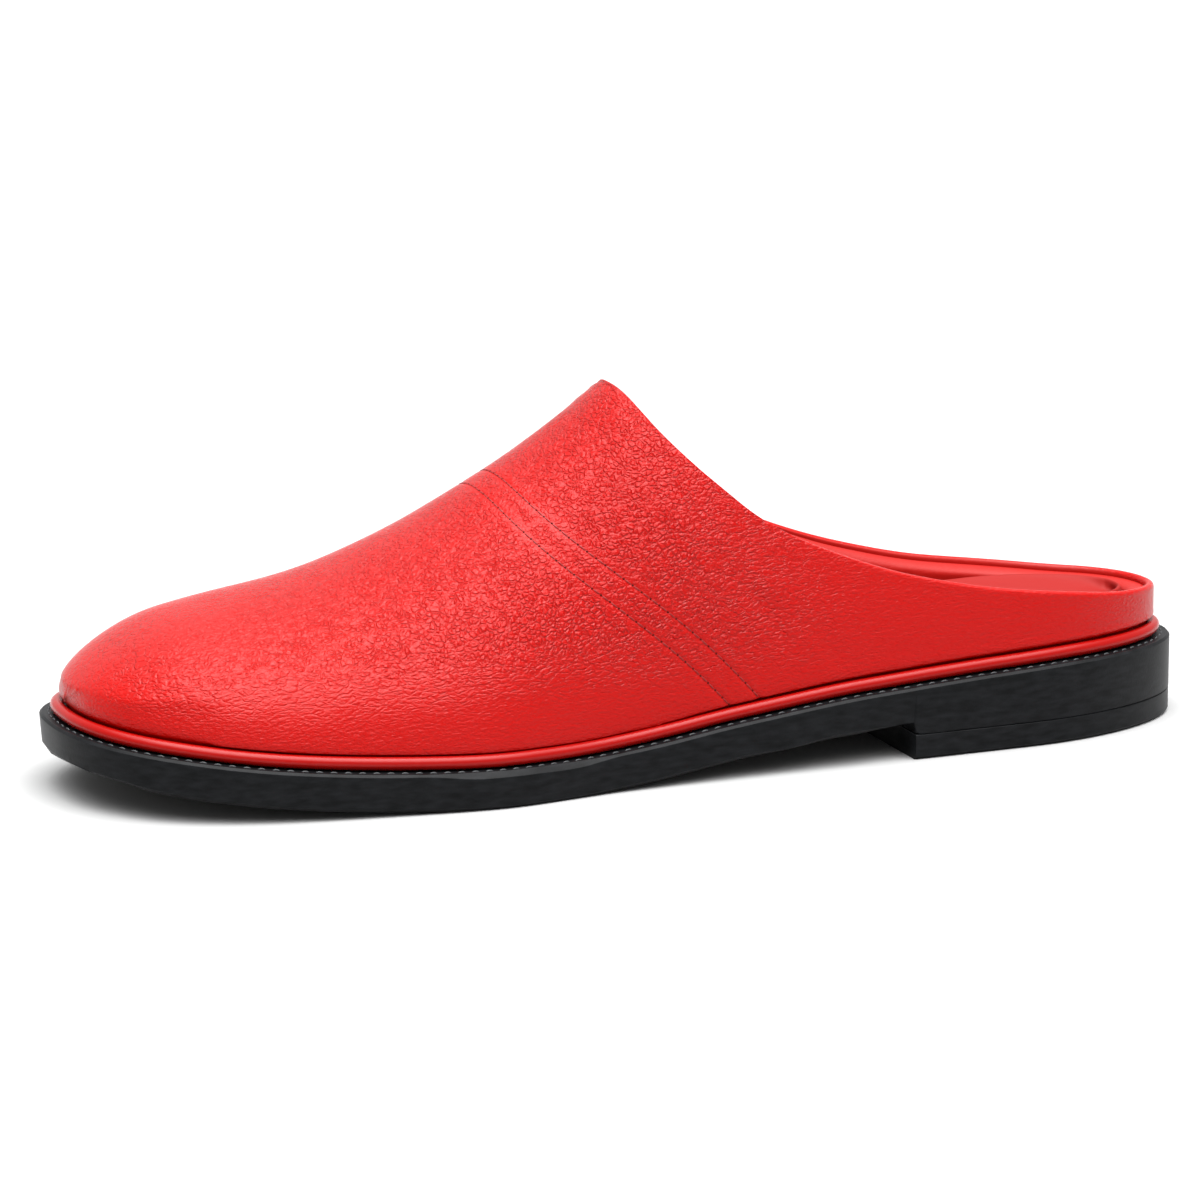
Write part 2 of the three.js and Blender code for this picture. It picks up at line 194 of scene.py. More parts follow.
# Where the grain is drawn out into wrinkles, and how far: at the toe, low on the vamp, by the collar
DRAWN_TOE = (0.8, 0.95)
DRAWN_TOE_MOST = 0.8
DRAWN_LOW = (24 * MM, 40 * MM)
DRAWN_COLLAR = (0.42, 0.52)
DRAWN_COLLAR_MOST = 0.6

# The moulded rubber: its gloss, the faint mottling and how it is pulled along the wall, and the grit
RUBBER_SPECULAR = 0.1
MOTTLE_SCALE = 420.0
MOTTLE_RANGE = (0.3, 0.7)
MOTTLE_PULL = (0.5, 0.5, 1.8)
GRIT_SCALE = 1500.0

# The ribs under the sole, and the twist of the sewing thread
TREAD_SPECULAR = 0.22
RIB_SCALE = 52.0
RIB_EDGE = (0.1, 0.35)
RIB_DEPTH = 0.5 * MM
THREAD_SPECULAR = 0.4
TWIST_SCALE = 900.0
TWIST_WOBBLE = 2.0
TWIST_STRENGTH = 0.5
TWIST_DEPTH = 0.03 * MM

# The height of the middle of the foot's room, from which the inside and the outside are told apart
ROOM_HEIGHT = 20 * MM

# The collar lining's padding: how far it swells the leather
LINING_SWELL = 0.3 * MM

# Where the fold of the upper over the piping is smoothed round the tip of the toe
TOE_FOLD_HEIGHT = 6 * MM
TOE_FOLD_LENGTH = 30 * MM
TOE_FOLD_LEAN = -0.2
TOE_FOLD_SMOOTHING = 40

# How far the heel lift is brought out and up to meet the heel base
LIFT_SETBACK = 0.26 * MM
LIFT_RAISE = 0.24 * MM

# Sizes taken from the frame
sole_low, sole_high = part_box("outsole")
SHOE_LENGTH = sole_high.x - sole_low.x
SHOE_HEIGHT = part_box("upper")[1].z

# The two stitch rows as seen from the side, with a smooth curve of degree SEAM_DEGREE through them.
# Heights over the floor are shares of the shoe's height, and the places of the front and the rear
# row are shares of the sole's length from the heel.
SEAM_DEGREE = 4
SEAM_LINES = [
    (0.12, 0.433, 0.401),
    (0.17, 0.448, 0.416),
    (0.25, 0.471, 0.441),
    (0.31, 0.489, 0.458),
    (0.37, 0.511, 0.475),
    (0.43, 0.532, 0.497),
    (0.52, 0.569, 0.535),
    (0.60, 0.598, 0.565),
    (0.68, 0.622, 0.591),
    (0.74, 0.631, 0.609),
    (0.80, 0.637, 0.619),
]

# Soft creases of the upper, seen from the side and on both sides of the shoe: where each one starts
# and ends as shares of the sole's length and the shoe's height, its width, and its depth. A negative
# depth is a soft ridge. CREASE_BOW is how far one bows sideways as a share of its length, and
# CREASE_ENDS are the shares of it over which its two ends fade.
CREASE_BOW = 0.08
CREASE_ENDS = ((-0.25, 0.2), (0.8, 1.25))
CREASES = [
    ((0.47, 0.60), (0.40, 0.33), 2.6 * MM, 0.22 * MM),
    ((0.45, 0.56), (0.375, 0.31), 2.4 * MM, -0.16 * MM),
    ((0.43, 0.47), (0.35, 0.27), 2.2 * MM, 0.18 * MM),
    ((0.50, 0.72), (0.46, 0.52), 3.0 * MM, -0.18 * MM),
    ((0.70, 0.47), (0.74, 0.33), 4.0 * MM, 0.20 * MM),
    ((0.75, 0.42), (0.79, 0.30), 4.0 * MM, -0.18 * MM),
    ((0.80, 0.36), (0.84, 0.27), 3.6 * MM, 0.18 * MM),
    ((0.62, 0.60), (0.67, 0.42), 4.5 * MM, 0.16 * MM),
]


def linear(hex_colour):
    """An sRGB hex colour as linear red, green, blue and alpha."""
    channels = [int(hex_colour[i:i + 2], 16) / 255 for i in (1, 3, 5)]
    curve = [c / 12.92 if c <= 0.04045 else ((c + 0.055) / 1.055) ** 2.4 for c in channels]
    return (*curve, 1.0)


def smooth(value, low, high):
    """0 below low, 1 above high, and a soft step between them."""
    t = np.clip((value - low) / (high - low), 0, 1)
    return t * t * (3 - 2 * t)


# Meshes
def corners(piece):
    """The places of a piece's corners, one row each."""
    places = np.empty(len(piece.data.vertices) * 3)
    piece.data.vertices.foreach_get("co", places)
    return places.reshape(-1, 3)


def place_corners(piece, places):
    piece.data.vertices.foreach_set("co", np.asarray(places, float).ravel())
    piece.data.update()


def outwards(piece):
    """Where the surface faces at each corner."""
    normals = np.empty(len(piece.data.vertices) * 3)
    piece.data.vertices.foreach_get("normal", normals)
    return normals.reshape(-1, 3)


def only(piece):
    """Selects one piece alone and makes it active."""
    bpy.ops.object.select_all(action="DESELECT")
    piece.select_set(True)
    bpy.context.view_layer.objects.active = piece


def choose_faces(piece, wanted):
    """Selects only the faces that wanted() accepts, by their centre and where they face."""
    mesh = piece.data
    mesh.polygons.foreach_set("select", [wanted(p.center, p.normal) for p in mesh.polygons])
    chosen = {v for p in mesh.polygons if p.select for v in p.vertices}
    mesh.vertices.foreach_set("select", [v.index in chosen for v in mesh.vertices])
    edges = [all(v in chosen for v in e.vertices) for e in mesh.edges]
    mesh.edges.foreach_set("select", edges)
    mesh.update()


def finish_piece(piece, material, slot, *nodes):
    """Gives a piece its material and its body, and hides the nodes that it stands for. The slot is not
    used.
    """
    piece.data.materials.clear()
    piece.data.materials.append(material)
    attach(piece, "root")
    if nodes:
        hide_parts(*nodes)
    return piece


def copy_of(node, name):
    """A merged copy of a node's mesh, in quads, ready to be shaped."""
    piece = bpy.data.objects.new(name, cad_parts[node].data.copy())
    piece.data.name = name
    bpy.context.scene.collection.objects.link(piece)
    only(piece)
    bpy.ops.mesh.customdata_custom_splitnormals_clear()
    bpy.ops.object.mode_set(mode="EDIT")
    bpy.ops.mesh.select_all(action="SELECT")
    bpy.ops.mesh.remove_doubles(threshold=MERGE_DISTANCE)
    bpy.ops.mesh.tris_convert_to_quads(
        face_threshold=math.radians(QUAD_FACE_ANGLE), shape_threshold=math.radians(QUAD_SHAPE_ANGLE)
    )
    bpy.ops.mesh.select_all(action="DESELECT")
    bpy.ops.object.mode_set(mode="OBJECT")
    bpy.ops.object.shade_smooth()
    return piece


def work_faces(piece, wanted, cuts, rounds):
    """Cuts the chosen faces finer, where cuts isn't 0, and smooths their corners."""
    choose_faces(piece, wanted)
    only(piece)
    bpy.ops.object.mode_set(mode="EDIT")
    bpy.ops.mesh.select_mode(type="FACE")
    if cuts:
        bpy.ops.mesh.subdivide(number_cuts=cuts)
    bpy.ops.mesh.vertices_smooth(factor=0.5, repeat=rounds)
    bpy.ops.mesh.select_all(action="DESELECT")
    bpy.ops.object.mode_set(mode="OBJECT")


def subdivide_through(piece, sharp_angle=None):
    """A subdivision surface that still passes through the corners that the frame gives.
    Edges sharper than sharp_angle stay sharp."""
    if sharp_angle is not None:
        only(piece)
        bpy.ops.object.mode_set(mode="EDIT")
        bpy.ops.mesh.select_mode(type="EDGE")
        bpy.ops.mesh.select_all(action="DESELECT")
        bpy.ops.mesh.edges_select_sharp(sharpness=math.radians(sharp_angle))
        bpy.ops.transform.edge_crease(value=1.0)
        bpy.ops.mesh.select_all(action="DESELECT")
        bpy.ops.object.mode_set(mode="OBJECT")
    goal = corners(piece)
    start = goal.copy()
    modifier = piece.modifiers.new("Rounding", "SUBSURF")
    modifier.levels = 1
    modifier.render_levels = 1
    for _ in range(ROUNDING_FITS):
        depsgraph = bpy.context.evaluated_depsgraph_get()
        rounded = piece.evaluated_get(depsgraph)
        mesh = rounded.to_mesh()
        found = np.empty(len(mesh.vertices) * 3)
        mesh.vertices.foreach_get("co", found)
        found = found.reshape(-1, 3)[: len(goal)]
        rounded.to_mesh_clear()
        start = start + (goal - found)
        place_corners(piece, start)
    modifier.levels = ROUNDING_LEVELS
    modifier.render_levels = ROUNDING_LEVELS
    only(piece)
    bpy.ops.object.modifier_apply(modifier=modifier.name)
    return piece


# Materials
def node(tree, kind, settings=(), inputs=(), links=()):
    """Adds one node with its settings, its inputs' values and the links into its inputs."""
    made = tree.nodes.new(kind)
    for name, value in settings:
        setattr(made, name, value)
    for name, value in inputs:
        made.inputs[name].default_value = value
    for name, source in links:
        tree.links.new(source, made.inputs[name])
    return made


def new_material(name, roughness, specular, base):
    """A material with its shader, and the point on the piece that its patterns read."""
    material = bpy.data.materials.new(name)
    material.use_nodes = True
    tree = material.node_tree
    shader = tree.nodes["Principled BSDF"]
    shader.inputs["Base Color"].default_value = linear(base)
    shader.inputs["Roughness"].default_value = roughness
    shader.inputs["Specular IOR Level"].default_value = specular
    shader.inputs["IOR"].default_value = 1.5
    place = node(tree, "ShaderNodeTexCoord").outputs["Object"]
    return material, tree, shader, place


def even_leather(name, base, roughness, specular, grain, depth):
    """Smooth leather with a thin semi-gloss finish: only a very fine, even grain is left."""
    material, tree, shader, place = new_material(name, roughness, specular, base)
    fine = node(tree, "ShaderNodeTexNoise", inputs=[("Scale", 1 / grain), ("Detail", 3.0)],
                links=[("Vector", place)])
    bump = node(tree, "ShaderNodeBump", inputs=[("Strength", 1.0), ("Distance", depth)],
                links=[("Height", fine.outputs["Fac"])])
    tree.links.new(bump.outputs["Normal"], shader.inputs["Normal"])
    return material


def creased_cells(tree, place, size, width):
    """A net of fine creases round cells of one size: 0 in a crease and 1 on the cells."""
    net = node(tree, "ShaderNodeTexVoronoi", [("feature", "DISTANCE_TO_EDGE")], [("Scale", 1 / size)],
               [("Vector", place)])
    return node(tree, "ShaderNodeMapRange", [("interpolation_type", "SMOOTHSTEP")],
                [("From Min", 0.0), ("From Max", width)], [("Value", net.outputs["Distance"])])


def grained_leather(name, base, painted_crease_shade, roughness, specular):
    """Grained calf leather, embossed and finished with a thin semi-gloss pigment coat.
    Pebbles stand between fine creases that come and go, and the creases are painted darker as painted
    shade.
    The grain attribute says how strongly they stand, and the drawn attribute how far they are drawn
    out into wrinkles along the shoe."""
    material, tree, shader, place = new_material(name, roughness, specular, base)
    warp = node(tree, "ShaderNodeTexNoise", inputs=[("Scale", WARP_SCALE / PEBBLE), ("Detail", 3.0)],
                links=[("Vector", place)])
    reach = WARP_REACH * PEBBLE
    shifted = node(tree, "ShaderNodeVectorMath", [("operation", "MULTIPLY_ADD")],
                   [(1, (reach, reach, reach))],
                   [(0, warp.outputs["Color"]), (2, place)]).outputs["Vector"]
    pebbles = creased_cells(tree, shifted, PEBBLE, PEBBLE_CREASE)
    along = node(tree, "ShaderNodeVectorMath", [("operation", "MULTIPLY")], [(1, WRINKLE_PULL)],
                 [(0, shifted)]).outputs["Vector"]
    wrinkles = creased_cells(tree, along, PEBBLE, WRINKLE_CREASE)
    drawn = node(tree, "ShaderNodeAttribute", [("attribute_name", "drawn")]).outputs["Fac"]
    cells = node(tree, "ShaderNodeMix", [("data_type", "FLOAT")],
                 links=[("Factor", drawn), ("A", pebbles.outputs["Result"]),
                        ("B", wrinkles.outputs["Result"])])
    coming = node(tree, "ShaderNodeTexNoise", inputs=[("Scale", PATCH_SCALE / PEBBLE), ("Detail", 1.0)],
                  links=[("Vector", place)])
    kept = node(tree, "ShaderNodeMapRange",
                inputs=[("From Min", PATCH_RANGE[0]), ("From Max", PATCH_RANGE[1]),
                        ("To Min", PATCH_LOWEST), ("To Max", 1.0)],
                links=[("Value", coming.outputs["Fac"])])
    strength = node(tree, "ShaderNodeAttribute", [("attribute_name", "grain")]).outputs["Fac"]
    strong = node(tree, "ShaderNodeMath", [("operation", "MULTIPLY")],
                  links=[(0, kept.outputs["Result"]), (1, strength)])
    open_crease = node(tree, "ShaderNodeMath", [("operation", "SUBTRACT")], [(0, 1.0)],
                       [(1, cells.outputs["Result"])])
    sunk = node(tree, "ShaderNodeMath", [("operation", "MULTIPLY")],
                links=[(0, open_crease.outputs[0]), (1, strong.outputs[0])])
    drawn_out = node(tree, "ShaderNodeVectorMath", [("operation", "MULTIPLY")], [(1, FIBRE_PULL)],
                     [(0, place)])
    fine = node(tree, "ShaderNodeTexNoise", inputs=[("Scale", FIBRE_SCALE / PEBBLE), ("Detail", 4.0)],
                links=[("Vector", drawn_out.outputs["Vector"])])
    fibres = node(tree, "ShaderNodeMath", [("operation", "MULTIPLY")], [(1, FIBRE_HEIGHT)],
                  [(0, fine.outputs["Fac"])])
    relief = node(tree, "ShaderNodeMath", [("operation", "MULTIPLY_ADD")], [(1, -CREASE_DROP)],
                  [(0, sunk.outputs[0]), (2, fibres.outputs[0])])
    bump = node(tree, "ShaderNodeBump",
                inputs=[("Strength", 1.0), ("Distance", PEBBLE_HEIGHT / CREASE_DROP)],
                links=[("Height", relief.outputs[0])])
    tree.links.new(bump.outputs["Normal"], shader.inputs["Normal"])
    # Painted shade: the creases are painted darker, towards the crease shade colour, on top of the bump's
    # own shading.
    tone = node(tree, "ShaderNodeMix", [("data_type", "RGBA")],
                [("A", linear(base)), ("B", linear(painted_crease_shade))], [("Factor", sunk.outputs[0])])
    tree.links.new(tone.outputs["Result"], shader.inputs["Base Color"])
    return material


def rubber(name, base, light, roughness, grit_depth):
    """Moulded rubber: matt black-grey, with a faint mottling, and fine scratches drawn out along
    the wall where the mould and the buffing wheel passed."""
    material, tree, shader, place = new_material(name, roughness, RUBBER_SPECULAR, base)
    drawn = node(tree, "ShaderNodeVectorMath", [("operation", "MULTIPLY")], [(1, MOTTLE_PULL)],
                 [(0, place)])
    mottle = node(tree, "ShaderNodeTexNoise", inputs=[("Scale", MOTTLE_SCALE), ("Detail", 6.0)],
                  links=[("Vector", drawn.outputs["Vector"])])
    patches = node(tree, "ShaderNodeMapRange",
                   inputs=[("From Min", MOTTLE_RANGE[0]), ("From Max", MOTTLE_RANGE[1])],
                   links=[("Value", mottle.outputs["Fac"])])
    tone = node(tree, "ShaderNodeMix", [("data_type", "RGBA")],
                [("A", linear(base)), ("B", linear(light))], [("Factor", patches.outputs["Result"])])
    tree.links.new(tone.outputs["Result"], shader.inputs["Base Color"])
    grit = node(tree, "ShaderNodeTexNoise", inputs=[("Scale", GRIT_SCALE), ("Detail", 3.0)],
                links=[("Vector", place)])
    bump = node(tree, "ShaderNodeBump", inputs=[("Strength", 1.0), ("Distance", grit_depth)],
                links=[("Height", grit.outputs["Fac"])])
    tree.links.new(bump.outputs["Normal"], shader.inputs["Normal"])
    return material


def tread_rubber(name, base, roughness):
    """The moulded underside: shallow ribs across the walking direction, a guess, as it is not seen."""
    material, tree, shader, place = new_material(name, roughness, TREAD_SPECULAR, base)
    ribs = node(tree, "ShaderNodeTexWave", [("bands_direction", "X")], [("Scale", RIB_SCALE)],
                [("Vector", place)])
    groove = node(tree, "ShaderNodeMapRange", [("interpolation_type", "SMOOTHSTEP")],
                  [("From Min", RIB_EDGE[0]), ("From Max", RIB_EDGE[1])],
                  [("Value", ribs.outputs["Fac"])])
    bump = node(tree, "ShaderNodeBump", inputs=[("Strength", 1.0), ("Distance", RIB_DEPTH)],
                links=[("Height", groove.outputs["Result"])])
    tree.links.new(bump.outputs["Normal"], shader.inputs["Normal"])
    return material


def thread(name, base, roughness):
    """Twisted polyester sewing thread: a fine slanted twist along each stitch."""
    material, tree, shader, place = new_material(name, roughness, THREAD_SPECULAR, base)
    twist = node(tree, "ShaderNodeTexWave",
                 inputs=[("Scale", TWIST_SCALE), ("Distortion", TWIST_WOBBLE)],
                 links=[("Vector", place)])
    bump = node(tree, "ShaderNodeBump", inputs=[("Strength", TWIST_STRENGTH), ("Distance", TWIST_DEPTH)],
                links=[("Height", twist.outputs["Fac"])])
    tree.links.new(bump.outputs["Normal"], shader.inputs["Normal"])
    return material


# Base colours, roughness and specular level, and for the plain ones the size and depth of their grain
# The upper's second colour is painted shade, darker in its creases.
upper_leather = grained_leather("grained_calf_upper", "#A00501", "#960401", 0.24, 0.19)
piping_leather = even_leather("smooth_calf_piping", "#8C0704", 0.22, 0.2, 0.5 * MM, 0.01 * MM)
lining_leather = even_leather("soft_lining_leather", "#94100A", 0.4, 0.2, 0.7 * MM, 0.08 * MM)
footbed_leather = even_leather("footbed_leather", "#820D08", 0.6, 0.18, 0.6 * MM, 0.012 * MM)
sole_rubber = rubber("moulded_sole_rubber", "#060708", "#151618", 0.4, 0.03 * MM)
underside_rubber = tread_rubber("ribbed_tread_rubber", "#141516", 0.6)
seam_thread = thread("dark_red_thread", "#7E0805", 0.5)
welt_thread = thread("dark_grey_thread", "#36383A", 0.5)
# The needle holes' dark dots are painted shadow, shaded with the rubber's faint mottling.
hole_shadow = rubber("needle_hole_shadow", "#3A0604", "#460805", 0.8, 0.01 * MM)


# The stitch rows on the vamp
seam_heights = [SHOE_HEIGHT * line[0] for line in SEAM_LINES]
seam_curves = []
for row in (0, 1):
    row_places = [sole_low.x + SHOE_LENGTH * line[row + 1] for line in SEAM_LINES]
    seam_curves.append(np.polyfit(seam_heights, row_places, SEAM_DEGREE))


def seam_x(z, row):
    """Where a stitch row crosses a height: row 0 is the front one, row 1 the rear one."""
    return np.polyval(seam_curves[row], z)


def seam_distance(places):
    """How far each point is from the nearer stitch row, seen from the side."""
    step = 0.5 * MM
    nearest = np.full(len(places), 1.0)
    for row in (0, 1):
        here = seam_x(places[:, 2], row)
        slope = (seam_x(places[:, 2] + step, row) - here) / step
        nearest = np.minimum(nearest, np.abs(places[:, 0] - here) / np.sqrt(1 + slope * slope))
    return nearest


def crease_depth(places):
    """How deep the soft creases lie at each point, seen from the side."""
    side = np.stack([places[:, 0] - sole_low.x, places[:, 2]], axis=1)
    scale = np.array([SHOE_LENGTH, SHOE_HEIGHT])
    depth = np.zeros(len(places))
    for start, end, width, deep in CREASES:
        a = np.array(start) * scale
        line = np.array(end) * scale - a
        along = ((side - a) @ line) / (line @ line)
        bow = CREASE_BOW * np.sin(math.pi * np.clip(along, 0, 1))
        near = a + np.clip(along, 0, 1)[:, None] * line + bow[:, None] * np.array([line[1], -line[0]])
        away = np.linalg.norm(side - near, axis=1) / width
        fade = smooth(along, *CREASE_ENDS[0]) * (1 - smooth(along, *CREASE_ENDS[1]))
        depth += deep * np.exp(-away * away) * fade
    return depth


def faces_out(places, facing):
    """1 on the outside of the upper and 0 on its inside, by where the surface points."""
    middle = np.array([0, 0, ROOM_HEIGHT])
    across = (places - middle)[:, 1:] * facing[:, 1:]
    return (across.sum(axis=1) > 0).astype(float)


def make_upper():
    """The vamp and heel leather, with the fold at the toe, the seams' groove and the soft creases."""
    upper = copy_of("upper", "leather_upper")
    subdivide_through(upper)

    def near_seam(centre, normal):
        if centre.y * normal.y + (centre.z - ROOM_HEIGHT) * normal.z < 0:
            return False
        return seam_distance(np.array([centre]))[0] < SEAM_BAND

    def near_toe_fold(centre, normal):
        low = centre.z < sole_high.z + TOE_FOLD_HEIGHT
        return low and centre.x > sole_high.x - TOE_FOLD_LENGTH and normal.x > TOE_FOLD_LEAN

    work_faces(upper, near_toe_fold, 0, TOE_FOLD_SMOOTHING)
    work_faces(upper, near_seam, SEAM_BAND_CUTS, SEAM_BAND_SMOOTHING)
    places = corners(upper)
    facing = outwards(upper)
    away = seam_distance(places) / SEAM_GROOVE_WIDTH
    depth = SEAM_GROOVE_DEPTH * np.exp(-away * away) + crease_depth(places)
    place_corners(upper, places - facing * (depth * faces_out(places, facing))[:, None])
    add_grain_map(upper)
    finish_piece(upper, upper_leather, "upper_leather", "upper")
    line_inside(upper)
    return upper


def line_inside(upper):
    """The inside of the vamp shows the smooth lining leather."""
    upper.data.materials.append(lining_leather)
    centres = np.array([p.center for p in upper.data.polygons])
    facing = np.array([p.normal for p in upper.data.polygons])
    inside = 1 - faces_out(centres, facing)
    upper.data.polygons.foreach_set("material_index", inside.astype(int))


def add_grain_map(upper):
    """How strongly the grain stands: full over the vamp, faint by the sole, the heel and the toe tip,
    and how far it is drawn out: most at the toe, low on the vamp and by the collar."""
    places = corners(upper)
    along = (places[:, 0] - sole_low.x) / SHOE_LENGTH
    low = smooth(places[:, 2], *GRAIN_HEIGHTS)
    back = smooth(along, *GRAIN_FROM_HEEL)
    tip = 1 - GRAIN_TIP_LOSS * smooth(along, *GRAIN_TIP)
    pressed = np.exp(-(seam_distance(places) / SEAM_PRESSED_WIDTH) ** 2)
    grain = (GRAIN_FAINT + (1 - GRAIN_FAINT) * low * back * tip) * (1 - SEAM_PRESSED * pressed)
    drawn_toe = DRAWN_TOE_MOST * smooth(along, *DRAWN_TOE)
    drawn_low = 1 - smooth(places[:, 2], *DRAWN_LOW)
    drawn_collar = DRAWN_COLLAR_MOST * (1 - smooth(along, *DRAWN_COLLAR))
    drawn = np.maximum(np.maximum(drawn_toe, drawn_low), drawn_collar)
    for name, values in (("grain", grain), ("drawn", drawn)):
        layer = upper.data.attributes.new(name, "FLOAT", "POINT")
        layer.data.foreach_set("value", values.astype(np.float32))


def make_piping():
    piping = copy_of("welt_piping", "leather_piping")
    subdivide_through(piping)
    return finish_piece(piping, piping_leather, "piping_leather", "welt_piping")


def make_lining():
    """The padded band inside the heel: soft leather over filling, drawn in where it meets the rim."""
    lining = copy_of("collar_lining", "padded_collar_lining")
    subdivide_through(lining)
    place_corners(lining, corners(lining) + outwards(lining) * LINING_SWELL)
    finish_piece(lining, lining_leather, "lining_leather", "collar_lining")
    return lining


def make_footbed():
    footbed = copy_of("insole", "leather_footbed")
    subdivide_through(footbed)
    return finish_piece(footbed, footbed_leather, "footbed_leather", "insole")


def shrink_edges(piece, bevel, share, top, lowest, highest):
    """Makes the mould's 45 degree edges of one size smaller by a share. top says whether they are
    upper edges of the wall, and only those between the two heights are changed."""
    places = corners(piece)
    moved = places.copy()
    for edge in piece.data.edges:
        high, low = sorted(edge.vertices, key=lambda i: -places[i, 2])
        drop = places[high, 2] - places[low, 2]
        out = np.linalg.norm(places[high, :2] - places[low, :2])
        if max(abs(drop - bevel), abs(out - bevel)) > EDGE_TOLERANCE * bevel:
            continue
        if not lowest < places[low, 2] < highest:
            continue
        flat, upright = (high, low) if top else (low, high)
        moved[flat, :2] += share * (places[upright, :2] - places[flat, :2])
        moved[upright, 2] += share * (places[flat, 2] - places[upright, 2])
    place_corners(piece, moved)


def make_rubber(node_name, name, edges):
    """A rubber piece of the sole: its outline runs smooth, and its edges are rounded by the mould."""
    piece = copy_of(node_name, name)
    for bevel, share, top, lowest, highest in edges:
        shrink_edges(piece, bevel, share, top, lowest, highest)
    subdivide_through(piece, SHARP_ANGLE)
    only(piece)
    rounding = piece.modifiers.new("Moulded edge", "BEVEL")
    rounding.width = MOULD_ROUND
    rounding.segments = MOULD_SEGMENTS
    rounding.limit_method = "ANGLE"
    rounding.angle_limit = math.radians(SHARP_ANGLE)
    bpy.ops.object.modifier_apply(modifier=rounding.name)
    bpy.ops.object.shade_smooth_by_angle(angle=math.radians(SHADED_ANGLE))
    finish_piece(piece, sole_rubber, "sole_rubber", node_name)
    piece.data.materials.append(underside_rubber)
    under = [int(p.normal.z < UNDERSIDE) for p in piece.data.polygons]
    piece.data.polygons.foreach_set("material_index", under)
    return piece


def close_heel_seam(lift):
    """Brings the heel lift up to the heel base and out to its wall, and leaves only a fine line."""
    places = corners(lift)
    low = places.min(axis=0)
    high = places.max(axis=0)
    middle = (low + high) / 2
    shift = LIFT_SETBACK * np.clip((places - middle) / (high - middle), -1, 1)
    shift[:, 0] = np.where(places[:, 0] < middle[0], shift[:, 0], 0)
    shift[:, 2] = np.where(places[:, 2] > middle[2], LIFT_RAISE, 0)
    place_corners(lift, places + shift)


def make_sewing_surface(piece):
    mesh = piece.data
    return BVHTree.FromPolygons([v.co for v in mesh.vertices], [p.vertices for p in mesh.polygons])


def one_stitch(length, radius):
    """One stitch along X: a short round thread with thinner ends that dip."""
    bpy.ops.mesh.primitive_cylinder_add(
        vertices=STITCH_SIDES, radius=radius, depth=length, rotation=(0, math.pi / 2, 0)
    )
    stitch = bpy.context.active_object
    bpy.ops.object.transform_apply(location=True, rotation=True, scale=True)
    bpy.ops.object.mode_set(mode="EDIT")
    for cut in STITCH_CUTS:
        bpy.ops.mesh.select_all(action="SELECT")
        bpy.ops.mesh.bisect(plane_co=(cut * length, 0, 0), plane_no=(1, 0, 0))
    bpy.ops.object.mode_set(mode="OBJECT")
    places = corners(stitch)
    share = np.abs(places[:, 0]) / (length / 2)
    places[:, 1:] *= (1 - STITCH_THINNING * share ** 4)[:, None]
    places[:, 2] -= STITCH_DIP * radius * share ** 2.5
    place_corners(stitch, places)
    return stitch


def sew(name, pattern, frames):
    """Copies a pattern piece to each frame (place, along, up) and joins the copies into one mesh."""
    copies = []
    for place, along, up in frames:
        copy = bpy.data.objects.new(name, pattern.data.copy())
        bpy.context.scene.collection.objects.link(copy)
        across = up.cross(along).normalized()
        straight = along.normalized()
        top = straight.cross(across).normalized()
        turn = Matrix((straight, across, top)).transposed().to_4x4()
        copy.data.transform(Matrix.Translation(place) @ turn)
        copies.append(copy)
    bpy.ops.object.select_all(action="DESELECT")
    for copy in copies:
        copy.select_set(True)
    bpy.context.view_layer.objects.active = copies[0]
    bpy.ops.object.join()
    joined = bpy.context.view_layer.objects.active
    joined.name = name
    bpy.ops.object.shade_smooth()
    bpy.data.objects.remove(pattern)
    return joined


def walk(points, pitch):
    """Even steps along a line of points: (place, direction) pairs."""
    lengths = [0.0]
    for a, b in zip(points, points[1:]):
        lengths.append(lengths[-1] + (b - a).length)
    steps = int(lengths[-1] / pitch)
    found = []
    for n in range(steps):
        goal = (n + 0.5) * lengths[-1] / steps
        i = max(1, int(np.searchsorted(lengths, goal)))
        t = (goal - lengths[i - 1]) / (lengths[i] - lengths[i - 1])
        found.append((points[i - 1].lerp(points[i], t), (points[i] - points[i - 1]).normalized()))
    return found


def seam_points(surface, side, row):
    """Points of one stitch row on one side of the vamp, from the piping up to the ridge."""
    points = []
    for z in np.arange(SEAM_START, SHOE_HEIGHT, SEAM_STEP):
        start = Vector((float(seam_x(z, row)), side * RAY_START, float(z)))
        place, _, _, _ = surface.ray_cast(start, Vector((0, -side, 0)))
        if place is not None and place.y * side > -SEAM_PAST_MIDDLE:
            points.append(place)
    return points


def make_seams(upper):
    """Two rows of stitches over the vamp, with a dark dot of painted shadow in the needle hole between
    one stitch and the next.
    """
    surface = make_sewing_surface(upper)
    frames = []
    hole_shadow_places = []
    for row in (0, 1):
        left = seam_points(surface, 1, row)
        right = seam_points(surface, -1, row)
        line = left + right[::-1]
        for place, along in walk(line, SEAM_PITCH):
            close, up, _, _ = surface.find_nearest(place)
            frames.append((close + up * SEAM_THREAD * SEAM_PROUD, along, up))
            end = close + along * SEAM_PITCH / 2
            pit, up_there, _, _ = surface.find_nearest(end)
            hole_shadow_places.append((pit - up_there * HOLE_SHADOW_RADIUS * HOLE_SHADOW_SINK, along, up_there))
    stitches = sew("vamp_stitches", one_stitch(SEAM_STITCH, SEAM_THREAD), frames)
    finish_piece(stitches, seam_thread, "upper_leather")
    # Painted shadow: a dark dot sits in each needle hole, where shade falls.
    bpy.ops.mesh.primitive_uv_sphere_add(
        segments=HOLE_SHADOW_SEGMENTS, ring_count=HOLE_SHADOW_RINGS, radius=HOLE_SHADOW_RADIUS
    )
    hole_shadow_dots = sew("needle_hole_shadows", bpy.context.active_object, hole_shadow_places)
    finish_piece(hole_shadow_dots, hole_shadow, "upper_leather")


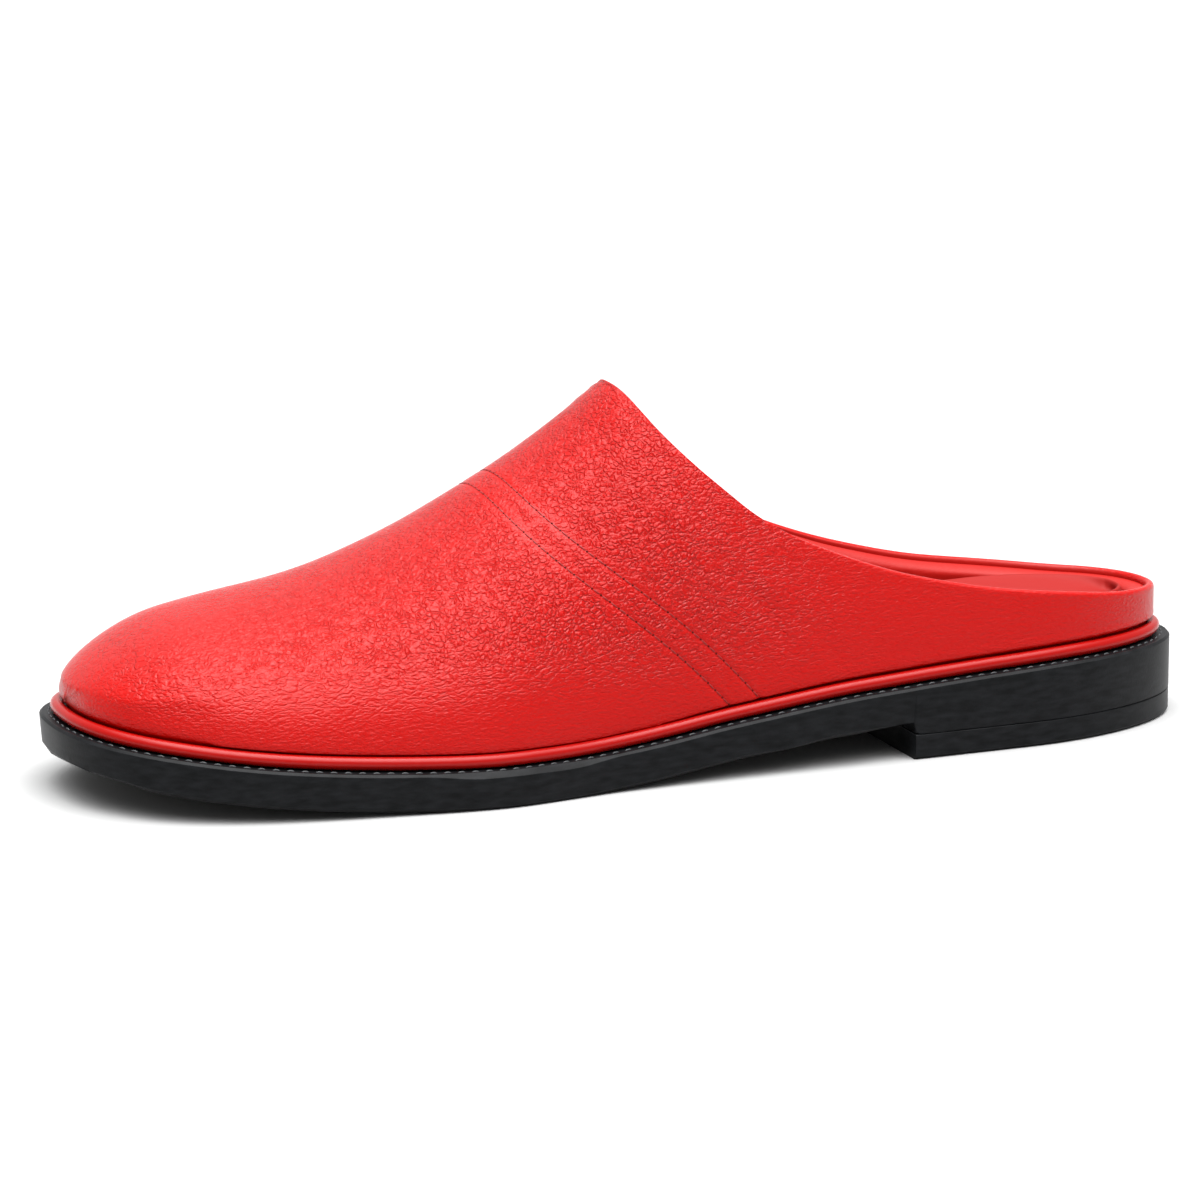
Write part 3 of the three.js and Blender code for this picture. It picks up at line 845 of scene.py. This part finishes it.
def make_welt_stitches(piping, outsole):
    """Stitches all round on the sole's top, just outside the piping."""
    surface = make_sewing_surface(outsole)
    places = corners(piping)
    facing = outwards(piping)
    level = np.abs(facing[:, 2]) < WELT_LEVEL
    away = (places[:, :2] * facing[:, :2]).sum(axis=1) > 0
    rim = np.nonzero(level & away)[0]
    rim = rim[np.argsort(np.arctan2(places[rim, 1], places[rim, 0]))]
    line = []
    for i in rim:
        flat = places[i] + facing[i] * WELT_OUTWARDS
        place, _, _, _ = surface.ray_cast(Vector((flat[0], flat[1], RAY_HEIGHT)), Vector((0, 0, -1)))
        if place is not None:
            line.append(place)
    line.append(line[0])
    frames = [(place + Vector((0, 0, WELT_THREAD * WELT_PROUD)), along, Vector((0, 0, 1)))
              for place, along in walk(line, WELT_PITCH)]
    stitches = sew("welt_stitches", one_stitch(WELT_STITCH, WELT_THREAD), frames)
    return finish_piece(stitches, welt_thread, "sole_rubber")


def make_slipper():
    """All pieces, the sewing last, because it lies on the leather and the rubber."""
    upper = make_upper()
    piping = make_piping()
    make_lining()
    make_footbed()
    outsole = make_rubber("outsole", "rubber_outsole", [SHOULDER, HEEL_BASE])
    close_heel_seam(make_rubber("heel_lift", "rubber_heel_lift", []))
    make_seams(upper)
    make_welt_stitches(piping, outsole)


# The studio
def make_studio():
    """A white paper floor in a tent of soft light, which is brightest above."""
    bpy.ops.mesh.primitive_plane_add(size=FLOOR_SIZE)
    floor = bpy.context.active_object
    floor.name = "studio_floor"
    paper = bpy.data.materials.new("white_paper_floor")
    paper.use_nodes = True
    shader = paper.node_tree.nodes["Principled BSDF"]
    shader.inputs["Base Color"].default_value = (FLOOR_TONE, FLOOR_TONE, FLOOR_TONE, 1)
    shader.inputs["Roughness"].default_value = FLOOR_ROUGHNESS
    shader.inputs["Specular IOR Level"].default_value = 0.0
    floor.data.materials.append(paper)
    world = bpy.data.worlds.new("light_tent")
    bpy.context.scene.world = world
    world.use_nodes = True
    tree = world.node_tree
    heading = node(tree, "ShaderNodeTexCoord").outputs["Generated"]
    parts = node(tree, "ShaderNodeSeparateXYZ", links=[("Vector", heading)])
    wall = node(tree, "ShaderNodeMapRange", [("interpolation_type", "SMOOTHSTEP")],
                [("From Min", TENT_TURN[0]), ("From Max", TENT_TURN[1]),
                 ("To Min", TENT_BACK), ("To Max", TENT_FRONT)],
                [("Value", parts.outputs["Y"])])
    lamp = node(tree, "ShaderNodeVectorMath", [("operation", "DOT_PRODUCT")], [(1, ROOF_MIDDLE)],
                [(0, heading)])
    total = wall.outputs["Result"]
    for glow, strength in ((ROOF_GLOW, TENT_ROOF), (LAMP_GLOW, TENT_LAMP)):
        part = node(tree, "ShaderNodeMapRange", [("interpolation_type", "SMOOTHSTEP")],
                    [("From Min", glow[0]), ("From Max", glow[1]), ("To Min", 0.0), ("To Max", strength)],
                    [("Value", lamp.outputs["Value"])])
        total = node(tree, "ShaderNodeMath", [("operation", "ADD")],
                     links=[(0, total), (1, part.outputs["Result"])]).outputs[0]
    tree.links.new(total, tree.nodes["Background"].inputs["Strength"])
    tree.nodes["Background"].inputs["Color"].default_value = (1, 1, 1, 1)


def make_camera():
    """The photograph's angle and frame."""
    azimuth = math.radians(VIEW_AZIMUTH)
    elevation = math.radians(VIEW_ELEVATION)
    level = math.cos(elevation)
    back = Vector((math.sin(azimuth) * level, -math.cos(azimuth) * level, math.sin(elevation)))
    aim = Vector((0, (cad_low.y + cad_high.y) / 2 + AIM_SIDE, AIM_HEIGHT))
    data = bpy.data.cameras.new("photo_view")
    data.lens = LENS
    data.sensor_width = SENSOR
    data.shift_x = SHIFT_X
    data.shift_y = SHIFT_Y
    data.clip_start = CLIP_NEAR
    data.clip_end = CLIP_FAR
    camera = bpy.data.objects.new("photo_view", data)
    bpy.context.scene.collection.objects.link(camera)
    camera.location = aim + back * VIEW_DISTANCE
    camera.rotation_euler = (-back).to_track_quat("-Z", "Y").to_euler()
    bpy.context.scene.camera = camera


make_slipper()
make_studio()
make_camera()
bpy.context.scene.view_settings.view_transform = "Standard"
